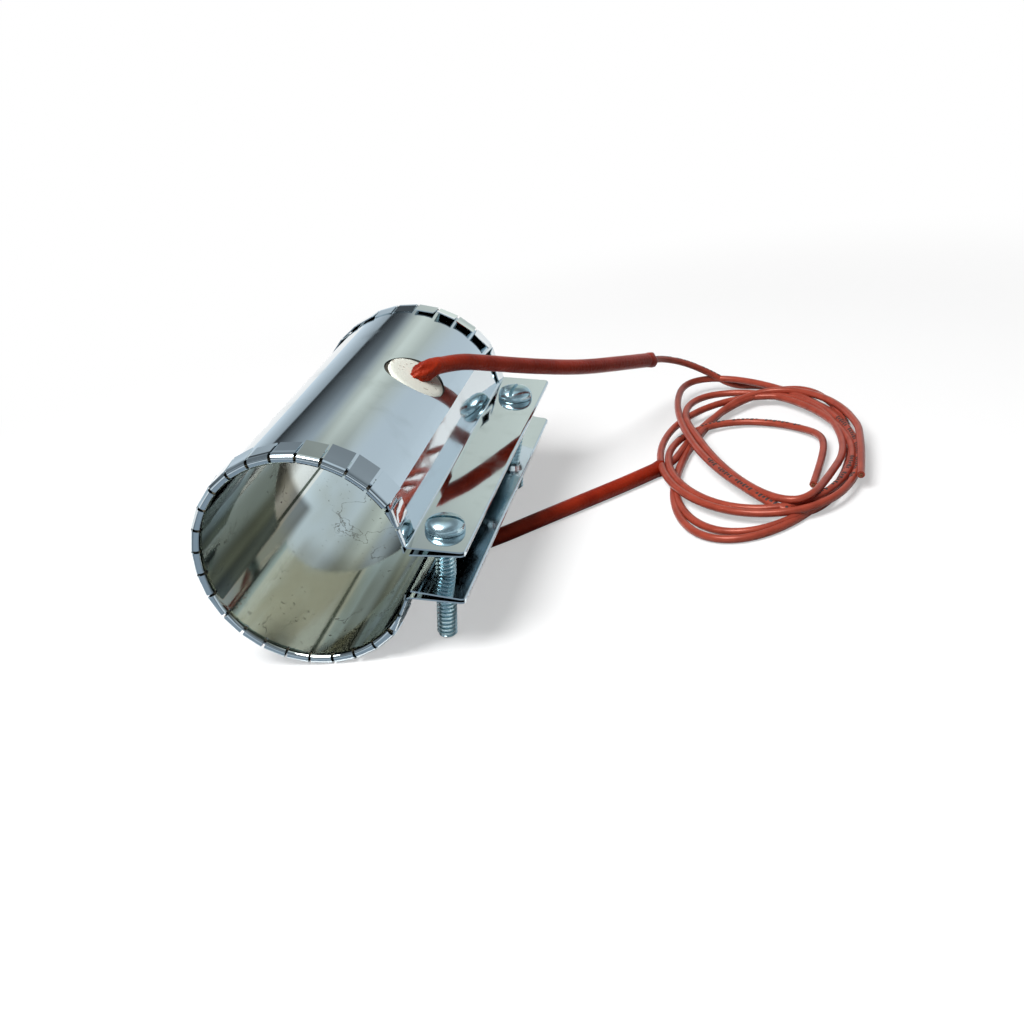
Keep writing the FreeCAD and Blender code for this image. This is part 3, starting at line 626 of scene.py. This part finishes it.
def pan_head():
    profile = [(0.0, 0.0), (HEAD_RADIUS - 0.15, 0.0), (HEAD_RADIUS, 0.15), (HEAD_RADIUS, HEAD_EDGE)]
    rise = HEAD_HEIGHT - HEAD_EDGE
    for step in range(1, 9):
        angle = math.pi / 2 * step / 9
        profile.append((HEAD_RADIUS * math.cos(angle) ** 0.75,
                        HEAD_EDGE + rise * math.sin(angle) ** 0.9))
    points = [(0, 0, 0)]
    for reach, height in profile[1:]:
        points += [(reach * math.cos(TURN * s / ROUND), reach * math.sin(TURN * s / ROUND), height)
                   for s in range(ROUND)]
    points.append((0, 0, HEAD_HEIGHT))
    last = len(points) - 1
    faces = [(0, 1 + (s + 1) % ROUND, 1 + s) for s in range(ROUND)]
    for ring in range(len(profile) - 2):
        low, high = 1 + ring * ROUND, 1 + (ring + 1) * ROUND
        faces += [(low + s, low + (s + 1) % ROUND, high + (s + 1) % ROUND, high + s)
                  for s in range(ROUND)]
    top = 1 + (len(profile) - 2) * ROUND
    faces += [(top + s, top + (s + 1) % ROUND, last) for s in range(ROUND)]
    return points, faces


def box_shape(low, high):
    points = [(x, y, z) for x in (low[0], high[0]) for y in (low[1], high[1])
              for z in (low[2], high[2])]
    faces = [(0, 1, 3, 2), (4, 6, 7, 5), (0, 4, 5, 1), (2, 3, 7, 6), (0, 2, 6, 4), (1, 5, 7, 3)]
    return points, faces


def loose_mesh(name, shape):
    mesh = bpy.data.meshes.new(name)
    mesh.from_pydata(*(shape[0], [], shape[1]))
    made = bpy.data.objects.new(name, mesh)
    bpy.context.scene.collection.objects.link(made)
    return made


def slotted_head(slot_turn):
    head = loose_mesh("head_blank", pan_head())
    half = SLOT_WIDTH / 2
    cutter = loose_mesh("slot_cutter", box_shape((-6, -half, HEAD_HEIGHT - SLOT_DEPTH),
                                                 (6, half, HEAD_HEIGHT + 1)))
    cutter.rotation_euler.z = slot_turn
    bpy.context.view_layer.update()
    cut = head.modifiers.new("slot", "BOOLEAN")
    cut.operation, cut.object, cut.solver = "DIFFERENCE", cutter, "EXACT"
    done = head.evaluated_get(bpy.context.evaluated_depsgraph_get()).to_mesh()
    points = [tuple(v.co) for v in done.vertices]
    faces = [tuple(p.vertices) for p in done.polygons]
    bpy.data.objects.remove(head)
    bpy.data.objects.remove(cutter)
    return points, faces


def dress_screw(end, slot_turn):
    joint = next(j for j in frame["joints"] if j["name"] == end + "_screw_turn")
    up = Vector(joint["axis"]).normalized()
    across = Vector((0, 1, 0)).cross(up).normalized()
    base = Vector(joint["pos_m"])
    turn = Matrix((across, Vector((0, 1, 0)), up)).transposed()
    points, faces = joined(threaded_shank(), slotted_head(slot_turn))
    lift = Vector((0, 0, 0.05))
    placed = [base + turn @ ((Vector(p) + lift) * MM) for p in points]
    piece(end + "_slotted_screw", placed, faces, ZINC, end + "_clamp_screw",
          [end + "_screw"], crease=40)


dress_screw("near", math.radians(8))
dress_screw("far", math.radians(82))


# --------------------------------------------------- sleeves and leads

def cord_curve(name, route, radius, finish, body, stands_for):
    curve = bpy.data.curves.new(name, "CURVE")
    curve.dimensions = "3D"
    curve.bevel_depth = radius * MM
    curve.bevel_resolution = 5
    curve.resolution_u = 6
    curve.use_fill_caps = True
    spline = curve.splines.new("NURBS")
    spline.points.add(len(route) - 1)
    for point, place in zip(spline.points, route):
        point.co = (*(Vector(place) * MM), 1)
    spline.order_u = 3
    spline.use_endpoint_u = True
    curve.materials.append(finish)
    made = bpy.data.objects.new(name, curve)
    bpy.context.scene.collection.objects.link(made)
    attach(made, body)
    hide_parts(*stands_for)
    return made


def spline_points(route):
    """Points along the quadratic spline that a route's control points make."""
    points = [Vector(p) for p in route]
    middles = [points[0]] + [(a + b) / 2 for a, b in zip(points[1:], points[2:])] + [points[-1]]
    found = [points[0]]
    for start, corner, stop in zip(middles, points[1:], middles[1:]):
        for step in range(1, 17):
            t = step / 16
            found.append(start * (1 - t) ** 2 + corner * 2 * t * (1 - t) + stop * t ** 2)
    return found


def route_length(route):
    points = spline_points(route)
    return sum((b - a).length for a, b in zip(points, points[1:])) * MM


def at_length(points, reach):
    """The place and direction at this distance along a line of points."""
    for a, b in zip(points, points[1:]):
        step = (b - a).length
        if reach <= step:
            return a + (b - a) * (reach / max(step, 1e-6)), (b - a).normalized()
        reach -= step
    return points[-1], (points[-1] - points[-2]).normalized()


def lead_marks(side, route, runs):
    """Plain dark dashes round part of a lead, in runs of (start, end, turn)."""
    points, shapes = spline_points(route), []
    for start, end, lean in runs:
        reach, count = start, 0
        while reach < end:
            count += 1
            long = 0.7 + 0.6 * abs(noise.noise(Vector((reach, start, 0))))
            rows = []
            for share in (0, 0.33, 0.67, 1):
                place, way = at_length(points, reach + long * share)
                across, up = cord_frame(way)
                row = []
                for spread in (-34, -17, 0, 17, 34):
                    angle = math.radians(90 + lean + spread * (0.6 + 0.4 * (count % 2)))
                    row.append(place + (across * math.cos(angle) + up * math.sin(angle)) * 1.06)
                rows.append(row)
            shapes.append(sheet_of(rows, 0.05))
            reach += long + (0.6 if count % 6 else 2.4)
    points, faces = joined(*shapes)
    return piece(side + "_lead_marks", [p * MM for p in points], faces, MARK_INK, "band",
                 crease=30)


def cut_end(side, route):
    """Bare copper strands at the cut end of a lead."""
    stop, before = Vector(route[-1]), Vector(route[-2])
    way = (stop - before).normalized()
    across, up = cord_frame(way)
    shapes = []
    for strand in range(7):
        angle = TURN * strand / 6
        out = (across * math.cos(angle) + up * math.sin(angle)) * (0.36 if strand < 6 else 0)
        spine = [stop + out + way * reach for reach in (-0.6, 0.1, 0.3 + 0.1 * (strand % 3))]
        shapes.append(crumpled_tube(spine, (0.17, 0.17, 0.14), 1, (0, 0, 0), 1.0, 12))
    points, faces = joined(*shapes)
    return piece(side + "_cut_strands", [p * MM for p in points], faces, STRANDS, "band",
                 crease=40)


def coil_turns(ovals, start_angle):
    """Points round loose ovals, clockwise from above. An oval is (turns done when it
    is reached, centre x, centre y, half width, half length, lean, height over the
    bench), and the lead eases from each into the next."""
    turns = ovals[-1][0]
    steps = int(turns * 16)
    points = []
    for step in range(steps + 1):
        done = turns * step / steps
        before, after = next(pair for pair in zip(ovals, ovals[1:])
                             if done <= pair[1][0] + 1e-9)
        share = (done - before[0]) / (after[0] - before[0])
        x, y, wide, long, lean, height = [
            a * (1 - share) + b * share for a, b in zip(before[1:], after[1:])]
        angle, lean = math.radians(start_angle) - TURN * done, math.radians(lean)
        along, across = long * math.sin(angle), wide * math.cos(angle)
        points.append((x + across * math.cos(lean) - along * math.sin(lean),
                       y + across * math.sin(lean) + along * math.cos(lean),
                       BENCH / MM + height))
    return points


UPPER_SLEEVE_ROUTE = [
    (19.65, 63.7, 22.3), (24.8, 70.5, 21.1), (30.2, 77.8, 17.3), (39.0, 91.5, 10.2),
    (49.5, 107.5, 2.6), (58.0, 123.5, -3.0), (65.0, 139.5, -8.5),
]
UPPER_LEAD_ROUTE = [
    (64.2, 137.6, -7.8), (65.0, 139.5, -8.5), (68.6, 146.8, -11.3), (74.2, 152.4, -15.4),
    (81.0, 155.8, -21.0),
] + coil_turns([
    (0.00, 97, 106, 24, 51, 8, 1.4), (0.25, 98, 101, 26, 50, 8, 1.2),
    (0.50, 97, 109, 20, 53, 14, 1.4), (0.62, 94.5, 109.5, 16.6, 55, 19, 4.8),
    (0.97, 94.5, 109, 16.4, 53.5, 19, 4.8), (1.25, 98, 98, 27, 48, 6, 3.2),
    (1.50, 98.5, 98, 28, 43, 13, 3.2), (1.95, 98, 98, 28.4, 42, 12, 3.4),
    (2.25, 99, 97, 25.5, 45, 6, 3.2), (2.50, 98.5, 95, 24, 45, -4, 1.3),
    (2.80, 99, 94, 23.5, 44, -5, 1.3), (3.00, 98.5, 95, 25, 46, 0, 4.4),
    (3.24, 98, 98, 28.0, 44, 0, 5.2),
], 96) + [(126.0, 98, -22.4), (126.2, 85, -22.5), (125.6, 72.3, -23.0)]
LOWER_SLEEVE_ROUTE = [
    (16.6, 48.2, -25.1), (28.2, 56.0, -25.25), (39.5, 66.3, -25.35), (53.0, 78.0, -25.35),
    (63.2, 86.8, -25.35), (70.8, 94.3, -25.35),
]
LOWER_LEAD_ROUTE = [
    (69.4, 92.9, -25.35), (70.8, 94.3, -25.35), (72.6, 96.3, -25.45), (74.4, 100.5, -25.6),
] + coil_turns([
    (0.00, 99, 95, 25, 48, -5, 2.0), (0.25, 99, 95, 24, 47, -6, 4.6),
    (0.50, 98.5, 95, 25, 47, -4, 1.2), (0.75, 98, 94.5, 23, 48.5, -6, 1.2),
    (1.02, 98, 94.5, 22.8, 49, -6, 1.2), (1.27, 98, 98, 24, 44, 8, 3.2),
    (1.52, 97, 106, 23, 48, 13, 3.4), (1.65, 93.8, 108, 14, 52, 19, 5.0),
    (1.97, 93.8, 108, 13, 51.5, 19, 4.8), (2.22, 97, 100, 23, 45, 10, 3.2),
    (2.47, 98, 97, 25.5, 40, 12, 3.3), (2.97, 97.5, 98, 25.5, 39, 12, 3.4),
    (3.22, 97, 93, 22, 29, 0, 1.4), (3.30, 97, 93, 21, 27, 0, 1.6),
], 162) + [(114.4, 108.5, -25.5), (116.2, 101, -25.3), (115.2, 89, -25.8), (113.1, 75.9, -26.3)]

MARK_RUNS = {"upper": [(5, 34, 0), (130, 196, 10), (330, 372, -20)],
             "lower": [(96, 128, 30), (560, 592, 0), (664, 706, 5)]}

for side, sleeve, lead, solids in (
        ("upper", UPPER_SLEEVE_ROUTE, UPPER_LEAD_ROUTE, ["upper_lead", "lead_coil"]),
        ("lower", LOWER_SLEEVE_ROUTE, LOWER_LEAD_ROUTE, ["lower_lead"])):
    tube = cord_curve(side + "_braided_sleeve", sleeve, 2.2, SLEEVING, "band",
                      [side + "_sleeve"])
    wire = cord_curve(side + "_coiled_lead", lead, 1.05, SILICONE, "band",
                      solids)
    end = frayed_end(side, sleeve, sleeve[0][0])
    dressed = [cut_end(side, lead), lead_marks(side, lead, MARK_RUNS[side])]
    Vector(sleeve[0]) * MM
    route_length(sleeve)
    Vector(lead[0]) * MM
    route_length(lead)
    print(side, "sleeve %.3f m, lead %.3f m" % (route_length(sleeve), route_length(lead)))


# ---------------------------------------------------------- bench and light

def floor():
    """A white bench: lit round the object, plain white further off."""
    f = Finish("bench_white")
    size = 8
    made = loose_mesh("bench", ([(-size, -size, BENCH), (size, -size, BENCH),
                                 (size, size, BENCH), (-size, size, BENCH)], [(0, 1, 2, 3)]))
    across, along, up = f.parts(f.place())
    across, along = across - 0.05, along - 0.07
    far = (across * across + along * along).math("SQRT").band(0.17, 0.30)
    white = f.mix(f.seen(), (0.2, 0.2, 0.2), (0.95, 0.95, 0.95))
    near_glow = f.node("ShaderNodeLightPath", {}, {}, "Is Camera Ray") * 0.45
    lit = f.node("ShaderNodeBsdfDiffuse", {}, {"Color": white})
    glow = f.node("ShaderNodeEmission", {}, {"Color": (1, 1, 1), "Strength": f.seen()})
    made.data.materials.append(f.shown(
        f.node("ShaderNodeMixShader", {}, {0: near_glow + far * (f.seen() - near_glow), 1: lit, 2: glow})))


def lamp(name, place, aim, size, power, colour=(1, 1, 1)):
    light = bpy.data.lights.new(name, "AREA")
    light.shape, light.size, light.energy, light.color = "DISK", size, power, colour
    made = bpy.data.objects.new(name, light)
    bpy.context.scene.collection.objects.link(made)
    made.location = place
    made.rotation_euler = (Vector(aim) - Vector(place)).to_track_quat("-Z", "Y").to_euler()


def room():
    f = Finish("room", bpy.data.worlds.new("room"))
    bpy.context.scene.world = f.owner
    strength = ROOM_LIGHT + f.seen() * (1 - ROOM_LIGHT)
    f.shown(f.node("ShaderNodeBackground", {}, {"Color": (1, 1, 1), "Strength": strength}),
            "ShaderNodeOutputWorld")


def reflection_wall():
    """A round studio wall that only polished metal shows: a dim stripe to the back
    left, pale blue to the back right, brighter overhead."""
    f = Finish("reflection_wall")
    across, along, up = f.parts(f.place())
    level = (across * across + along * along).math("SQRT")
    rise = up.math("ARCTAN2", level) / (math.pi / 2)
    turn = across.math("ARCTAN2", along) / math.pi * 180
    striped = f.node("ShaderNodeValToRGB", {"stops": [
        (0.00, 0.85), (0.13, 0.48), (0.155, 0.42), (0.162, 0.03), (0.20, 0.09),
        (0.24, 0.18), (0.27, 0.30), (0.31, 0.46), (0.38, 0.20), (0.62, 0.20), (0.78, 0.90)]},
        {0: rise})
    pale = f.node("ShaderNodeValToRGB", {"stops": [
        (0.00, 1.00), (0.10, 0.85), (0.22, 0.80), (0.31, 0.80), (0.37, 0.42), (0.60, 0.32),
        (0.75, 0.90)]},
        {0: rise})
    streaks = f.node("ShaderNodeValToRGB", {"stops": [
        (0.00, 1.00), (0.44, 0.80), (0.475, 0.72), (0.49, 1.00), (0.515, 0.72),
        (0.54, 0.85), (1.00, 1.00)]}, {0: turn / 360 + 0.5})
    left = (1 - turn.band(-15, -7)) + turn.band(60, 120)
    shade = f.mix(left, f.multiplied(pale, streaks), striped)
    creamy = f.mix(turn.band(2, 18), (0.95, 1.02, 0.95), (0.86, 0.97, 1.06))
    bluish = f.mix(left, creamy, (0.84, 0.97, 1.08))
    tint = f.multiplied(shade, bluish)
    steps, rings, reach = 96, 24, 3.0
    points = [(reach * math.cos(math.pi / 2 * r / rings) * math.cos(TURN * n / steps),
               reach * math.cos(math.pi / 2 * r / rings) * math.sin(TURN * n / steps),
               reach * math.sin(math.pi / 2 * r / rings))
              for r in range(rings) for n in range(steps)]
    faces = [(r * steps + n, r * steps + (n + 1) % steps,
              (r + 1) * steps + (n + 1) % steps, (r + 1) * steps + n)
             for r in range(rings - 1) for n in range(steps)]
    made = loose_mesh("reflection_wall", (points, faces))
    made.data.materials.append(f.shown(
        f.node("ShaderNodeEmission", {}, {"Color": tint, "Strength": 1.0})))
    only_mirrored(made)


def only_mirrored(made):
    """Leaves a studio card to the reflections alone."""
    made.visible_camera = made.visible_diffuse = made.visible_shadow = False
    made.visible_transmission = False


def dark_card(name, low, high, shade):
    """A card lying on the bench, seen only in the metal."""
    f = Finish(name)
    height = BENCH + 0.1 * MM
    made = loose_mesh(name, ([(low[0], low[1], height), (high[0], low[1], height),
                              (high[0], high[1], height), (low[0], high[1], height)],
                             [(0, 1, 2, 3)]))
    across, along, up = f.parts(f.place())
    cloud = f.noise(6, 2.0).band(0.4, 0.6)
    colour = f.mix(cloud, shade, tuple(2.2 * c for c in shade))
    made.data.materials.append(f.shown(
        f.node("ShaderNodeEmission", {}, {"Color": colour, "Strength": 1.0})))
    only_mirrored(made)


ROOM_LIGHT = 0.14

floor()
room()
reflection_wall()
dark_card("front_card", (-0.30, -0.60), (0.50, -0.001), (0.13, 0.16, 0.19))
dark_card("back_card", (0.14, 0.14), (0.80, 0.55), (0.06, 0.07, 0.06))
lamp("overhead_softbox", (-0.25, -0.35, 0.9), (0.05, 0.06, 0), 0.65, 14.5)


# ----------------------------------------------------------------- camera

def camera():
    view = bpy.data.cameras.new("camera")
    view.lens, view.sensor_width = 48.47, 36
    made = bpy.data.objects.new("camera", view)
    bpy.context.scene.collection.objects.link(made)
    forward = Vector((-0.2572, 0.8766, -0.4066)).normalized()
    up = Vector((0.0835, 0.4394, 0.8944))
    right = forward.cross(up).normalized()
    up = right.cross(forward)
    turn = Matrix((right, up, -forward)).transposed().to_4x4()
    made.matrix_world = Matrix.Translation(Vector((129.63, -264.06, 130.98)) * MM) @ turn
    bpy.context.scene.camera = made


camera()
bpy.context.scene.view_settings.view_transform = "Standard"
